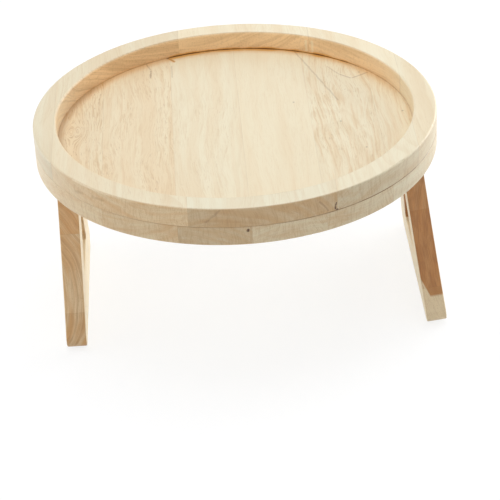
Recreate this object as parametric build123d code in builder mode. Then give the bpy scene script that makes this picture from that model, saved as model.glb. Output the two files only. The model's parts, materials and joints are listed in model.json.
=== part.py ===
"""Sofa arm tray: a round two-layer wooden tray with two folding wings on spring hinges.

Millimetres, +Z up, X across the sofa arm. The origin is on the floor, under the tray's axis.
"""

import math
import os

from build123d import *

# Tray
tray_diameter = 300.0
rim_width = 17.2
rim_board = 14.5
base_board = 14.5
tray_edge_round = 1.6
board_edge_break = 0.35
rim_left_lap = 1.5
rim_joint_shares = (-0.26, 0.43, 0.853)
base_joint_shares = (-0.66, -0.31, 0.03, 0.38, 0.71)

# Wings
wing_board = 15.0
wing_foot_width = 175.0
wing_top_width = 52.0
wing_side_bow = 6.0
wing_foot_corner = 9.0
wing_top_corner = 1.5
wing_edge_ease = 1.0
wing_seam = 0.8
foot_stave_height = 27.0
middle_stave_height = 52.0
cutout_base_margin = 34.0
cutout_top_margin = 19.6
cutout_width = 62.0
cutout_tip_width = 11.0
cutout_side_bow = 4.5
cutout_corner = 3.0
left_splay = 0.5
right_splay = 6.5

# Spring hinges
hinge_inset = 27.6
leaf_length = 38.0
leaf_reach = 15.5
leaf_sheet = 1.2
leaf_corner = 1.0
barrel_diameter = 6.0
barrel_clearance = 0.4
barrel_to_board = 0.15
end_knuckle = 7.4
knuckle_gap = 0.2
roll_gap = 0.3
pin_diameter = 3.5
pin_running_clearance = 0.05
pin_stand_out = 0.3
pin_end_chamfer = 0.25
wing_end_clearance = 1.4

# Torsion springs
spring_wire = 0.75
spring_mean_diameter = 4.9
spring_pitch = 1.28
spring_full_turns = 6
spring_end_room = 0.13
spring_tail_length = 6.0
spring_tail_bend = 1.3
spring_tail_clearance = 0.05
spring_tail_lead = 25.0
spring_check_count = 24
tail_groove_margin = 0.35

# Screws
head_diameter = 7.4
head_height = 2.6
head_round = 0.9
recess_width = 1.1
recess_length = 4.2
recess_depth = 1.5
shank_diameter = 3.5
shank_length = 11.5
shank_point = 2.5
shank_point_diameter = 0.6
screw_edge_margin = 6.1
screw_end_margin = 6.4
screw_hole_clearance = 0.2
pilot_clearance = 0.05
pilot_end_room = 0.5
head_pocket_margin = 1.4
head_pocket_room = 0.6

overrun = 1.0

# Worked out from the sizes above
tray_radius = tray_diameter / 2
barrel_radius = barrel_diameter / 2
bore_radius = pin_diameter / 2 + pin_running_clearance
pin_x = tray_radius - hinge_inset
wing_start = barrel_radius + wing_end_clearance
wing_end = pin_x - wing_seam / 2
wing_face = barrel_radius - leaf_sheet
tray_seat = barrel_radius + barrel_to_board
tray_leaf_face = tray_seat - leaf_sheet
plate_start = barrel_radius + barrel_clearance
spring_radius = spring_mean_diameter / 2
screw_from_pin = leaf_reach - screw_edge_margin
screw_spacing = leaf_length - 2 * screw_end_margin


def drop_of(splay):
    """Distance from the pin down to the lowest line of a wing's eased foot edge."""
    lean = math.radians(splay)
    down = (wing_end - wing_edge_ease) * math.cos(lean)
    return down + (wing_face - wing_edge_ease) * math.sin(lean) + wing_edge_ease


pin_z = max(drop_of(left_splay), drop_of(right_splay))
base_bottom = pin_z + tray_seat
board_seam = base_bottom + base_board

# A tray frame has its origin on the pin, X towards the tray's middle and Z up.
# A wing frame is the tray frame turned about the pin, so that X runs down the wing.
inwards = {"left": 1, "right": -1}
openings = {"left": 90 + left_splay, "right": 90 + right_splay}


# The spring turns from the tray's tail to the wing's, more with a wing that stands further out
def spring_turn(opening):
    return 360 * spring_full_turns + 2 * spring_tail_lead + opening


def spring_half_length(opening):
    return spring_pitch * spring_turn(opening) / 360 / 2


spring_half_room = spring_half_length(max(openings.values())) + spring_wire / 2 + spring_end_room
tail_end = plate_start + spring_tail_length


def pin_frame(side, opening):
    turn = math.radians(opening)
    down_the_wing = (inwards[side] * math.cos(turn), 0, -math.sin(turn))
    off_the_face = (inwards[side] * math.sin(turn), 0, math.cos(turn))
    return Plane(origin=(-inwards[side] * pin_x, 0, pin_z), x_dir=down_the_wing, z_dir=off_the_face)


tray_frames = {side: pin_frame(side, 0) for side in inwards}
wing_frames = {side: pin_frame(side, openings[side]) for side in inwards}


def across(frame, along):
    """Plane square to the pin, whose sketch axes are the frame's X and Z."""
    middle = frame.from_local_coords((0, along, 0))
    return Plane(origin=middle, x_dir=frame.x_dir, z_dir=-frame.y_dir)


os.makedirs("parts", exist_ok=True)


def write(part, name):
    part.label = name
    export_step(part, f"parts/{name}.step")


# Tray: rim board

def make_rim_piece(name, x_from, x_to, y_from, y_to):
    with BuildPart() as piece:
        with BuildSketch(Plane.XZ) as section:
            with Locations((tray_radius - rim_width / 2, board_seam + rim_board / 2)):
                Rectangle(rim_width, rim_board)
            top_corners = section.vertices().group_by(Axis.Y)[-1]
            fillet(top_corners, tray_edge_round)
            low_outer = section.vertices().group_by(Axis.Y)[0].sort_by(Axis.X)[-1]
            chamfer(low_outer, board_edge_break)
        revolve(axis=Axis.Z)
        with BuildSketch(Plane.XY.offset(board_seam - overrun)):
            with Locations(((x_from + x_to) / 2, (y_from + y_to) / 2)):
                Rectangle(x_to - x_from, y_to - y_from)
        extrude(amount=rim_board + 2 * overrun, mode=Mode.INTERSECT)
    write(piece.part, name)


edge = tray_radius + overrun
left_line = rim_width - rim_left_lap - tray_radius
rim_lines = [-edge, left_line] + [share * tray_radius for share in rim_joint_shares] + [edge]
make_rim_piece("rim_left", rim_lines[0], rim_lines[1], -edge, edge)
for number, place in enumerate(("left", "middle", "right"), start=1):
    make_rim_piece(f"rim_back_{place}", rim_lines[number], rim_lines[number + 1], 0, edge)
    make_rim_piece(f"rim_front_{place}", rim_lines[number], rim_lines[number + 1], -edge, 0)
make_rim_piece("rim_right", rim_lines[-2], rim_lines[-1], -edge, edge)


# Tray: base board, with the pilot holes and the pockets for the folded wings' screw heads

def screw_spots(distance):
    return [(distance, -screw_spacing / 2), (distance, screw_spacing / 2)]


def make_base_stave(name, x_from, x_to):
    with BuildPart() as stave:
        with BuildSketch(Plane.XZ) as section:
            with Locations((tray_radius / 2, base_bottom + base_board / 2)):
                Rectangle(tray_radius, base_board)
            low_outer = section.vertices().group_by(Axis.Y)[0].sort_by(Axis.X)[-1]
            fillet(low_outer, tray_edge_round)
            high_outer = section.vertices().group_by(Axis.Y)[-1].sort_by(Axis.X)[-1]
            chamfer(high_outer, board_edge_break)
        revolve(axis=Axis.Z)
        with BuildSketch(Plane.XY.offset(base_bottom - overrun)):
            with Locations(((x_from + x_to) / 2, 0)):
                Rectangle(x_to - x_from, 2 * edge)
        extrude(amount=base_board + 2 * overrun, mode=Mode.INTERSECT)
        for frame in tray_frames.values():
            with BuildSketch(frame.offset(tray_seat)):
                with Locations(*screw_spots(-screw_from_pin)):
                    Circle(shank_diameter / 2 + pilot_clearance)
            extrude(amount=shank_length - leaf_sheet + pilot_end_room, mode=Mode.SUBTRACT)
            with BuildSketch(frame.offset(tray_seat)):
                with Locations(*screw_spots(screw_from_pin)):
                    Circle(head_diameter / 2 + head_pocket_margin)
            extrude(amount=head_height + head_pocket_room, mode=Mode.SUBTRACT)
    write(stave.part, name)


base_lines = [-edge] + [share * tray_radius for share in base_joint_shares] + [edge]
for number in range(len(base_lines) - 1):
    make_base_stave(f"base_stave_{number + 1}", base_lines[number], base_lines[number + 1])


# Wings: flared boards with one cut-out, glued from three staves

def bowed_outline(near, near_half, far, far_half, bow):
    """Four-sided outline along the sketch's X, whose two long sides bow inwards."""
    middle = ((near + far) / 2, (near_half + far_half) / 2)
    run = math.hypot(far - near, far_half - near_half)
    shift = ((far_half - near_half) / run * bow, (far - near) / run * bow)
    for half in (1, -1):
        bowed = (middle[0] + shift[0], half * (middle[1] - shift[1]))
        Spline((near, half * near_half), bowed, (far, half * far_half))
    Line((near, near_half), (near, -near_half))
    Line((far, far_half), (far, -far_half))


def make_wing_stave(name, side, x_from, x_to):
    frame = wing_frames[side]
    with BuildPart() as stave:
        with BuildSketch(frame.offset(wing_face - wing_board)) as outline:
            with BuildLine():
                bowed_outline(wing_start, wing_top_width / 2, wing_end, wing_foot_width / 2, wing_side_bow)
            make_face()
            fillet(outline.vertices().group_by(Axis.X)[-1], wing_foot_corner)
            fillet(outline.vertices().group_by(Axis.X)[0], wing_top_corner)
            with BuildSketch(mode=Mode.SUBTRACT) as cutout:
                base_x = wing_end - cutout_base_margin
                tip_x = wing_start + cutout_top_margin
                with BuildLine():
                    bowed_outline(tip_x, cutout_tip_width / 2, base_x, cutout_width / 2, cutout_side_bow)
                make_face()
                fillet(cutout.vertices(), cutout_corner)
        extrude(amount=wing_board)
        with BuildSketch(frame.offset(wing_face + overrun)):
            with Locations(((x_from + x_to) / 2, 0)):
                Rectangle(x_to - x_from, wing_foot_width + 2 * overrun)
        extrude(amount=-(wing_board + 2 * overrun), mode=Mode.INTERSECT)
        broad_faces = stave.faces().sort_by(Axis(frame.origin, frame.z_dir))
        borders = broad_faces[0].edges() + broad_faces[-1].edges()
        down = Axis(frame.origin, frame.x_dir)
        free = borders.filter_by_position(down, x_from + wing_edge_ease / 2, x_to - wing_edge_ease / 2)
        fillet(free, wing_edge_ease)
        with BuildSketch(frame.offset(wing_face)):
            with Locations(*screw_spots(screw_from_pin)):
                Circle(shank_diameter / 2 + pilot_clearance)
        extrude(amount=-(shank_length - leaf_sheet + pilot_end_room), mode=Mode.SUBTRACT)
        with BuildSketch(frame.offset(wing_face)):
            groove_end = tail_end + tail_groove_margin
            with Locations((groove_end / 2, spring_half_length(openings[side]))):
                Rectangle(groove_end, spring_wire + 2 * tail_groove_margin)
        extrude(amount=-(spring_wire + tail_groove_margin), mode=Mode.SUBTRACT)
    write(stave.part, name)


for side in wing_frames:
    foot_line = wing_end - foot_stave_height
    middle_line = foot_line - middle_stave_height
    make_wing_stave(f"{side}_wing_foot_stave", side, foot_line, wing_end + overrun)
    make_wing_stave(f"{side}_wing_middle_stave", side, middle_line, foot_line)
    make_wing_stave(f"{side}_wing_top_stave", side, 0, middle_line)


# Hinge leaves: a plate with rolled knuckles on its edge

def make_leaf(name, frame, way, plate_face, knuckles):
    """The plate lies on the frame's X side that way gives, 1 or -1."""
    with BuildPart() as leaf:
        with BuildSketch(frame.offset(plate_face)) as plate:
            with Locations((way * (plate_start + leaf_reach) / 2, 0)):
                Rectangle(leaf_reach - plate_start, leaf_length)
            far_corners = plate.vertices().group_by(Axis.X)[-1 if way > 0 else 0]
            fillet(far_corners, leaf_corner)
            with Locations(*screw_spots(way * screw_from_pin)):
                Circle(shank_diameter / 2 + screw_hole_clearance, mode=Mode.SUBTRACT)
        extrude(amount=leaf_sheet)
        for low, high in knuckles:
            with BuildSketch(across(frame, high)):
                Circle(barrel_radius)
                with Locations((way * plate_start / 2, plate_face + leaf_sheet / 2)):
                    Rectangle(plate_start, leaf_sheet)
                Circle(bore_radius, mode=Mode.SUBTRACT)
                with Locations((way * barrel_radius, plate_face - roll_gap / 2)):
                    Rectangle(2 * (barrel_radius - bore_radius), roll_gap, mode=Mode.SUBTRACT)
            extrude(amount=high - low)
    write(leaf.part, name)


half = leaf_length / 2
inner_edge = half - end_knuckle - knuckle_gap
tray_knuckles = ((-half, -half + end_knuckle), (half - end_knuckle, half))
wing_knuckles = ((-inner_edge, -spring_half_room), (spring_half_room, inner_edge))
for side in tray_frames:
    make_leaf(f"{side}_tray_leaf", tray_frames[side], -1, tray_leaf_face, tray_knuckles)
    make_leaf(f"{side}_wing_leaf", wing_frames[side], 1, wing_face, wing_knuckles)


# Hinge pins

def make_pin(name, frame):
    length = leaf_length + 2 * pin_stand_out
    with BuildPart() as pin:
        with BuildSketch(across(frame, length / 2)):
            Circle(pin_diameter / 2)
        extrude(amount=length)
        chamfer(pin.edges().filter_by(GeomType.CIRCLE), pin_end_chamfer)
    write(pin.part, name)


for side in tray_frames:
    make_pin(f"{side}_hinge_pin", tray_frames[side])


# Torsion springs: one unbroken wire, a coil on biarcs with a straight tail at each end

def add_biarc(start, start_way, end, end_way):
    """Two tangent arcs from start to end, and the points where they begin and end."""
    span = end - start
    both = start_way + end_way
    square = 2 * (1 - start_way.dot(end_way))
    slope = 2 * span.dot(both)
    reach = (math.sqrt(slope * slope + 4 * square * span.dot(span)) - slope) / (2 * square)
    meeting = (start + start_way * reach + end - end_way * reach) * (1 / 2)
    first = TangentArc(start, meeting, tangent=start_way)
    TangentArc(meeting, end, tangent=first % 1)


def tail_points(turned, way, plate_face):
    """Where a tail leaves the coil, bends and ends, in a leaf's X and Z with way as its X side."""
    lead = math.radians(spring_tail_lead)
    level = plate_face - spring_wire / 2 - spring_tail_clearance
    leave = (way * spring_radius * math.sin(lead), spring_radius * math.cos(lead))
    bend_back = spring_tail_bend * math.tan(lead / 2)
    corner_x = leave[0] + way * (leave[1] - level) / math.tan(lead)
    before = (corner_x - way * bend_back * math.cos(lead), level + bend_back * math.sin(lead))
    after = (corner_x + way * bend_back, level)
    finish = (way * tail_end, level)
    turn = math.radians(turned)
    return [
        (x * math.cos(turn) + z * math.sin(turn), z * math.cos(turn) - x * math.sin(turn))
        for x, z in (leave, before, after, finish)
    ]


def make_spring(name, frame, opening):
    half_length = spring_half_length(opening)
    turn = spring_turn(opening)
    steps = math.ceil(turn / 90)

    def place(xz, along):
        return frame.from_local_coords(Vector(xz[0], along, xz[1]))

    def heading(from_xz, to_xz):
        return (place(to_xz, 0) - place(from_xz, 0)).normalized()

    tray_tail = tail_points(0, -1, tray_leaf_face)
    wing_tail = tail_points(opening, 1, wing_face)
    spots = []
    for step in range(steps + 1):
        share = step / steps
        angle = math.radians(90 + spring_tail_lead - share * turn)
        along = -half_length + 2 * half_length * share
        spot = place((spring_radius * math.cos(angle), spring_radius * math.sin(angle)), along)
        round_way = place((math.sin(angle), -math.cos(angle)), 0) - place((0, 0), 0)
        climb = frame.y_dir * (spring_pitch / (2 * math.pi * spring_radius))
        climbs = 0 if step in (0, steps) else 1
        spots.append((spot, (round_way + climb * climbs).normalized()))
    with BuildPart() as spring:
        with BuildLine() as route:
            Line(place(tray_tail[3], -half_length), place(tray_tail[2], -half_length))
            way_in = heading(tray_tail[3], tray_tail[2])
            TangentArc(place(tray_tail[2], -half_length), place(tray_tail[1], -half_length), tangent=way_in)
            Line(place(tray_tail[1], -half_length), place(tray_tail[0], -half_length))
            for before, after in zip(spots, spots[1:]):
                add_biarc(before[0], before[1], after[0], after[1])
            Line(place(wing_tail[0], half_length), place(wing_tail[1], half_length))
            way_out = heading(wing_tail[0], wing_tail[1])
            TangentArc(place(wing_tail[1], half_length), place(wing_tail[2], half_length), tangent=way_out)
            Line(place(wing_tail[2], half_length), place(wing_tail[3], half_length))
        wire = route.wires()[0]
        with BuildSketch(Plane(origin=wire @ 0, z_dir=wire % 0)):
            Circle(spring_wire / 2)
        sweep(path=wire)
    wound = math.pi * spring_wire ** 2 / 4 * wire.length
    samples = math.ceil(steps * spring_check_count)
    points = [wire @ (number / samples) for number in range(samples + 1)]
    apart = math.ceil(2 * spring_wire / (wire.length / samples)) + 1
    nearest = min(
        (points[first] - points[second]).length
        for first in range(len(points))
        for second in range(first + apart, len(points))
    )
    print(f"{name}: least gap to itself {nearest - spring_wire:.2f} mm,", end=" ")
    print(f"volume {spring.part.volume:.1f} mm3 for a wire of {wound:.1f} mm3")
    write(spring.part, name)


for side in tray_frames:
    make_spring(f"{side}_hinge_spring", tray_frames[side], openings[side])


# Screws: pan heads with a cross recess, seated on the leaves

def make_screws(name, frame, way, seat, down):
    """Heads stand on the seat plane, on the side that down points away from."""
    with BuildPart() as screws:
        for spot in screw_spots(way * screw_from_pin):
            foot = frame.from_local_coords((spot[0], spot[1], seat))
            axis_plane = Plane(origin=foot, x_dir=frame.x_dir, z_dir=frame.z_dir * -down)
            with BuildSketch(axis_plane):
                Circle(head_diameter / 2)
            extrude(amount=head_height)
            circles = screws.edges(Select.LAST).filter_by(GeomType.CIRCLE)
            crown = circles.sort_by(Axis(axis_plane.origin, axis_plane.z_dir))[-1]
            fillet(crown, head_round)
            with BuildSketch(axis_plane.offset(head_height)):
                Rectangle(recess_length, recess_width)
                Rectangle(recess_width, recess_length)
            extrude(amount=-recess_depth, mode=Mode.SUBTRACT)
            with BuildSketch(axis_plane):
                Circle(shank_diameter / 2)
            extrude(amount=-(shank_length - shank_point))
            with BuildSketch(axis_plane.offset(shank_point - shank_length)):
                Circle(shank_diameter / 2)
            with BuildSketch(axis_plane.offset(-shank_length)):
                Circle(shank_point_diameter / 2)
            loft()
    write(screws.part, name)


for side in tray_frames:
    make_screws(f"{side}_tray_screws", tray_frames[side], -1, tray_leaf_face, 1)
    make_screws(f"{side}_wing_screws", wing_frames[side], 1, barrel_radius, -1)
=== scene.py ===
"""Sofa arm tray: the finish of its boards, spring hinges and screws, and a plain stage.

Metres, in the tray's own frame: X across the sofa arm, Y along the grain of every board, +Z up.
"""

import json
import math
import random

import bmesh
import bpy
from bpy.props import FloatProperty, FloatVectorProperty, IntProperty, PointerProperty
from mathutils import Color, Matrix, Vector


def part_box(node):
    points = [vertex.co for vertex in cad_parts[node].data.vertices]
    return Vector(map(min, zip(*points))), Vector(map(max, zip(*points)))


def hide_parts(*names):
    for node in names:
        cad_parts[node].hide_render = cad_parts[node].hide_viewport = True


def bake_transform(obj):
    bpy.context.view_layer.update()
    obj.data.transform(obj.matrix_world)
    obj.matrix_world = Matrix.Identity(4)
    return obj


bl_info = {
    "name": "Sofa Arm Tray",
    "version": (1, 0, 0),
    "blender": (4, 5, 0),
    "location": "View3D > Sidebar > Sofa Tray",
    "description": "Finishes the boards, hinges and screws of a round sofa arm tray",
    "category": "Object",
}

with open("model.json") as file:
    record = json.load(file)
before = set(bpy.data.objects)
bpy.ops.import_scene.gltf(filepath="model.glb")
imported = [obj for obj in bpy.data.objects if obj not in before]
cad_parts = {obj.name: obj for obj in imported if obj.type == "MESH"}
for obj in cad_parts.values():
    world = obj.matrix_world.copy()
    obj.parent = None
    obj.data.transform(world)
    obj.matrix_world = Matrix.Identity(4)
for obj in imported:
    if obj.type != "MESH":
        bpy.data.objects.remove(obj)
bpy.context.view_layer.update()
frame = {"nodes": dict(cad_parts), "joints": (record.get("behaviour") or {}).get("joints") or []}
joints = {joint["name"]: joint for joint in frame["joints"]}

# Each side, with the sign of X from its hinge to the tray's middle
sides = {"left": 1, "right": -1}

# Places of the boards, read from the frame
recess_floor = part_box("base_stave_3")[1].z
tray_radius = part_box("rim_right")[1].x
tray_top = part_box("rim_right")[1].z
recess_radius = min(vertex.co.xy.length for vertex in frame["nodes"]["rim_right"].data.vertices)


# Settings that a user may change

def colour(name, description, value):
    return FloatVectorProperty(
        name=name, description=description, default=value, size=3, min=0, max=1, subtype="COLOR_GAMMA"
    )


def length(name, description, value):
    return FloatProperty(name=name, description=description, default=value, min=0, unit="LENGTH", precision=5)


def offset(name, description, value):
    return FloatProperty(name=name, description=description, default=value, unit="LENGTH", precision=5)


def amount(name, description, value, most=1.0):
    return FloatProperty(name=name, description=description, default=value, min=0, max=most)


def watts(name, description, value):
    return FloatProperty(name=name, description=description, default=value, min=0, unit="POWER")


def angle(name, description, degrees):
    return FloatProperty(name=name, description=description, default=math.radians(degrees), unit="ROTATION")


class WoodSettings(bpy.types.PropertyGroup):
    face_colour: colour("Face", "Pale wood between the streaks", (0.950, 0.908, 0.795))
    band_colour: colour("Bands", "Warmer bands that run along a board", (0.930, 0.855, 0.720))
    ring_colour: colour("Rings", "Late wood of the yearly rings on a face", (0.850, 0.745, 0.580))
    pore_colour: colour("Pores", "Short brown pores along the grain", (0.690, 0.550, 0.390))
    end_colour: colour("End grain", "Cut ends of pale boards", (0.850, 0.806, 0.688))
    warm_end_colour: colour("Warm end grain", "Cut ends of brown boards", (0.766, 0.608, 0.406))
    end_ring_colour: colour("End rings", "Late wood of the yearly rings on an end", (0.636, 0.484, 0.308))
    recess_colour: colour("Recess wall", "Wall of the recess, deeper in lacquer", (0.985, 0.842, 0.648))
    glue_colour: colour("Glue line", "Line where two boards are glued", (0.500, 0.340, 0.190))
    # The halo colour also paints the soft painted shade on the floor at the back of the recess
    halo_colour: colour("Stain halo", "Lacquer spread from the recess wall's foot", (0.880, 0.660, 0.330))
    # The corner stain colour also paints the painted contact shade at the wall's foot and the soft painted
    # shade on the floor at the left
    stain_colour: colour("Corner stain", "Lacquer gathered at the recess wall's foot", (0.420, 0.230, 0.080))
    knot_colour: colour("Knots", "Small knots, pin marks and cracks", (0.330, 0.210, 0.110))
    ring_width: length("Ring width", "Mean width of a yearly ring", 0.0042)
    band_width: length("Band width", "Width of the warm bands", 0.013)
    band_length: length("Band length", "Length of the warm bands", 0.40)
    streak_width: length("Streak width", "Width of the streaks, before each kind's own share", 0.0015)
    streak_length: length("Streak length", "Length of the short streaks", 0.019)
    long_streak_length: length("Long streak length", "Length of the long streaks", 0.065)
    pore_width: length("Pore width", "Width of a pore", 0.00045)
    pore_length: length("Pore length", "Length of a pore", 0.0060)
    glue_width: length("Glue line width", "Width of a glue line", 0.00040)
    grain_depth: length("Grain depth", "How deep the pores are felt in the lacquer", 0.00006)
    roughness: amount("Roughness", "Roughness of the satin lacquer", 0.46)


class HingeSettings(bpy.types.PropertyGroup):
    leaf_colour: colour("Leaf", "Steel of the leaves and knuckles", (0.860, 0.865, 0.860))
    pin_colour: colour("Pin", "Turned steel of the pins", (0.780, 0.775, 0.765))
    spring_colour: colour("Spring", "Drawn wire of the springs", (0.820, 0.815, 0.800))
    zinc_colour: colour("Screws", "Bright zinc plate of the screws", (0.760, 0.800, 0.850))
    zinc_patch_colour: colour("Screw patches", "Patches of the zinc plate, less blue", (0.80, 0.82, 0.80))
    satin: amount("Satin", "How much rougher a leaf is than its polished knuckles", 0.16)
    knuckle: length("Knuckle", "Radius of the knuckles", 0.0030)
    wire: length("Wire", "Thickness of the spring's wire", 0.00075)
    coil: length("Coil", "Mean diameter of the spring's coil", 0.0049)
    pitch: length("Pitch", "Distance from one turn to the next", 0.00128)
    full_turns: IntProperty(name="Full turns", description="Whole turns of the coil", default=6, min=1)
    tail_lead: angle("Tail lead", "Turn past the top where a tail leaves the coil", 25)
    tail_bend: length("Tail bend", "Radius of the bend of a tail", 0.0013)
    tail_end: length("Tail end", "Distance from the pin to the end of a tail", 0.0094)
    tray_level: length("Tray tail level", "Height of the tray's tail above the pin", 0.001525)
    wing_level: length("Wing tail level", "Height of the wing's tail off the pin", 0.001375)


class StageSettings(bpy.types.PropertyGroup):
    floor_colour: colour("Floor", "Pale floor, as it lights the tray", (0.965, 0.962, 0.955))
    floor_seen: colour("Floor as seen", "Pale floor, as the camera sees it", (0.555, 0.562, 0.572))
    floor_glow: amount("Floor glow", "What the camera sees on top of the floor's own light", 0.78)
    floor_size: length("Floor size", "Side of the square floor", 14.0)
    ambient: amount("Ambient", "Even light from all round", 0.5, 4)
    top_light: watts("Top light", "Power of the softbox above", 11)
    front_light: watts("Front light", "Power of the softbox in front", 4)
    left_light: watts("Left light", "Power of the softbox at the left", 6)
    right_light: watts("Right light", "Power of the softbox at the right", 16)
    lens: length("Lens", "Focal length, on a sensor 36 mm wide", 0.144)
    pitch: angle("Pitch", "How far the camera looks down", 31.153)
    roll: angle("Roll", "Turn of the picture", 3.117)
    yaw: angle("Yaw", "Turn of the tray under the camera", 1.462)
    aside: offset("Aside", "The tray's top centre, to the right of the camera's line", -0.011702)
    below: offset("Below", "The tray's top centre, down from the camera's line", -0.1054)
    ahead: length("Ahead", "The tray's top centre, ahead of the camera", 1.487772)


# Shader graphs

class Graph:
    """Adds the nodes of a material or of the world, and links them."""

    def __init__(self, owner):
        owner.use_nodes = True
        self.tree = owner.node_tree
        self.tree.nodes.clear()

    def add(self, kind, values=(), **settings):
        """One shader node. Its values go by socket: each a number, a colour or another node's output."""
        node = self.tree.nodes.new("ShaderNode" + kind)
        for setting, value in settings.items():
            setattr(node, setting, value)
        for socket, value in dict(values).items():
            if isinstance(value, bpy.types.NodeSocket):
                self.tree.links.new(value, node.inputs[socket])
            else:
                node.inputs[socket].default_value = value
        return node

    def math(self, operation, *values):
        return self.add("Math", enumerate(values), operation=operation).outputs[0]

    def times(self, value, *factors):
        for factor in factors:
            value = self.math("MULTIPLY", value, factor)
        return value

    def apart(self, first, second):
        return self.math("ABSOLUTE", self.math("SUBTRACT", first, second))

    def vector(self, operation, *values, scale=None):
        sockets = dict(enumerate(values))
        if scale is not None:
            sockets["Scale"] = scale
        node = self.add("VectorMath", sockets, operation=operation)
        single = operation in ("LENGTH", "DOT_PRODUCT")
        return node.outputs["Value" if single else "Vector"]

    def parts(self, vector):
        return self.add("SeparateXYZ", {0: vector}).outputs

    def join(self, **parts):
        return self.add("CombineXYZ", parts).outputs[0]

    def ease(self, value, low, high, least=0.0, most=1.0):
        """Least below low, most above high, and a smooth step between them."""
        sockets = {"Value": value, "From Min": low, "From Max": high, "To Min": least, "To Max": most}
        return self.add("MapRange", sockets, interpolation_type="SMOOTHSTEP").outputs[0]

    def near(self, distance, reach, most=1.0):
        """Most at no distance, and nothing from reach on."""
        return self.ease(distance, 0.0, reach, most, 0.0)

    def mix(self, factor, first, second):
        factor_socket, first_socket, second_socket, result = 0, 6, 7, 2
        sockets = {factor_socket: factor, first_socket: first, second_socket: second}
        return self.add("Mix", sockets, data_type="RGBA").outputs[result]

    def noise(self, place, sizes, detail=2.0, roughness=0.5, output="Fac"):
        """Noise whose patches have these three sizes."""
        squeezed = self.vector("MULTIPLY", place, [1 / size for size in sizes])
        sockets = {"Vector": squeezed, "Scale": 1.0, "Detail": detail, "Roughness": roughness}
        return self.add("TexNoise", sockets).outputs[output]

    def noise_along_a_line(self, value):
        sockets = {"W": value, "Scale": 1.0, "Detail": 1.0}
        return self.add("TexNoise", sockets, noise_dimensions="1D").outputs["Fac"]

    def wobble(self, place, sizes):
        """A step in a direction that changes over these sizes, at most a half along each axis."""
        return self.vector("SUBTRACT", self.noise(place, sizes, output="Color"), (0.5, 0.5, 0.5))

    def finish(self, shader):
        self.add("OutputMaterial", {"Surface": shader})


def linear(gamma_colour, shade=1.0, warmth=0.0):
    """The colour as light, darkened by shade and drawn towards red by warmth."""
    red, green, blue = Color(gamma_colour).from_srgb_to_scene_linear()
    return (red * shade, green * shade * (1 - warmth), blue * shade * (1 - 2 * warmth), 1.0)


def give(piece, material):
    piece.data.materials.clear()
    piece.data.materials.append(material)


def give_both_sides(endings, material):
    """Gives the material to the nodes with these endings at the left and at the right."""
    for side in sides:
        for ending in endings:
            give(frame["nodes"][f"{side}_{ending}"], material)


# Wood

# Longer than a board, for patterns that hardly change along it
board_long = 0.40

# Sizes of the patterns in wood and metal
patterns = {
    # Across, along and off the board
    "wander": (0.035, 0.110, 0.035),
    "waves": (0.014, 0.038, 0.014),
    "clusters": (0.020, 0.090, 0.020),
    "patches": (0.016, board_long, 0.0065),
    "saw_marks": (0.0009, board_long, 0.0090),
    "end_pores": (0.0005, 0.006, 0.0006),
    "wall_streaks": (0.0012, 0.014, 0.0016),
    # Out of, along and round the pith
    "layers": (0.0050, board_long, 0.034),
    "hatch": (0.0008, board_long, 0.0075),
    "wall_layers": (0.0032, 0.060, 0.045),
    # Along X, Y and Z
    "ragged_edge": (0.0025, 0.0025, 0.0025),
    "crooked_line": (0.009, 0.009, 0.009),
    "seam": (0.03, 0.03, 0.03),
    "layer_line": (0.028, 0.028, 0.01),
    "recess_foot": (0.013, 0.013, 0.013),
    "worn": (0.0022, 0.0030, 0.0022),
}

# How strong each pattern is on a usual board, from 0 to 1
usual_grain = {
    "bands": 0.6,
    "streaks": 0.5,
    "rings": 0.16,
    "seam": 0.12,
    "amber": 0.8,
    "wall_rings": 0.2,
    "end_rings": 0.14,
    "hatch": 0.16,
    "mottle": 0.0,
    "saw_marks": 0.0,
    # Long streaks beside the short ones, and the rings' spacing beside the usual
    "long_streaks": 0.7,
    "spacing": 1.0,
    # How brown a cut end is, and how far its layers go up and down from there
    "heat": 0.3,
    "layers": 0.25,
    # Tone of a cut end beside the board's own
    "end_shade": 1.0,
    "end_warmth": 0.0,
}

# The cut ends round the tray show more of the saw and less of the rings
tray_ends = {"layers": 0.17, "end_rings": 0.10, "hatch": 0.08, "saw_marks": 0.30}


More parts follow.
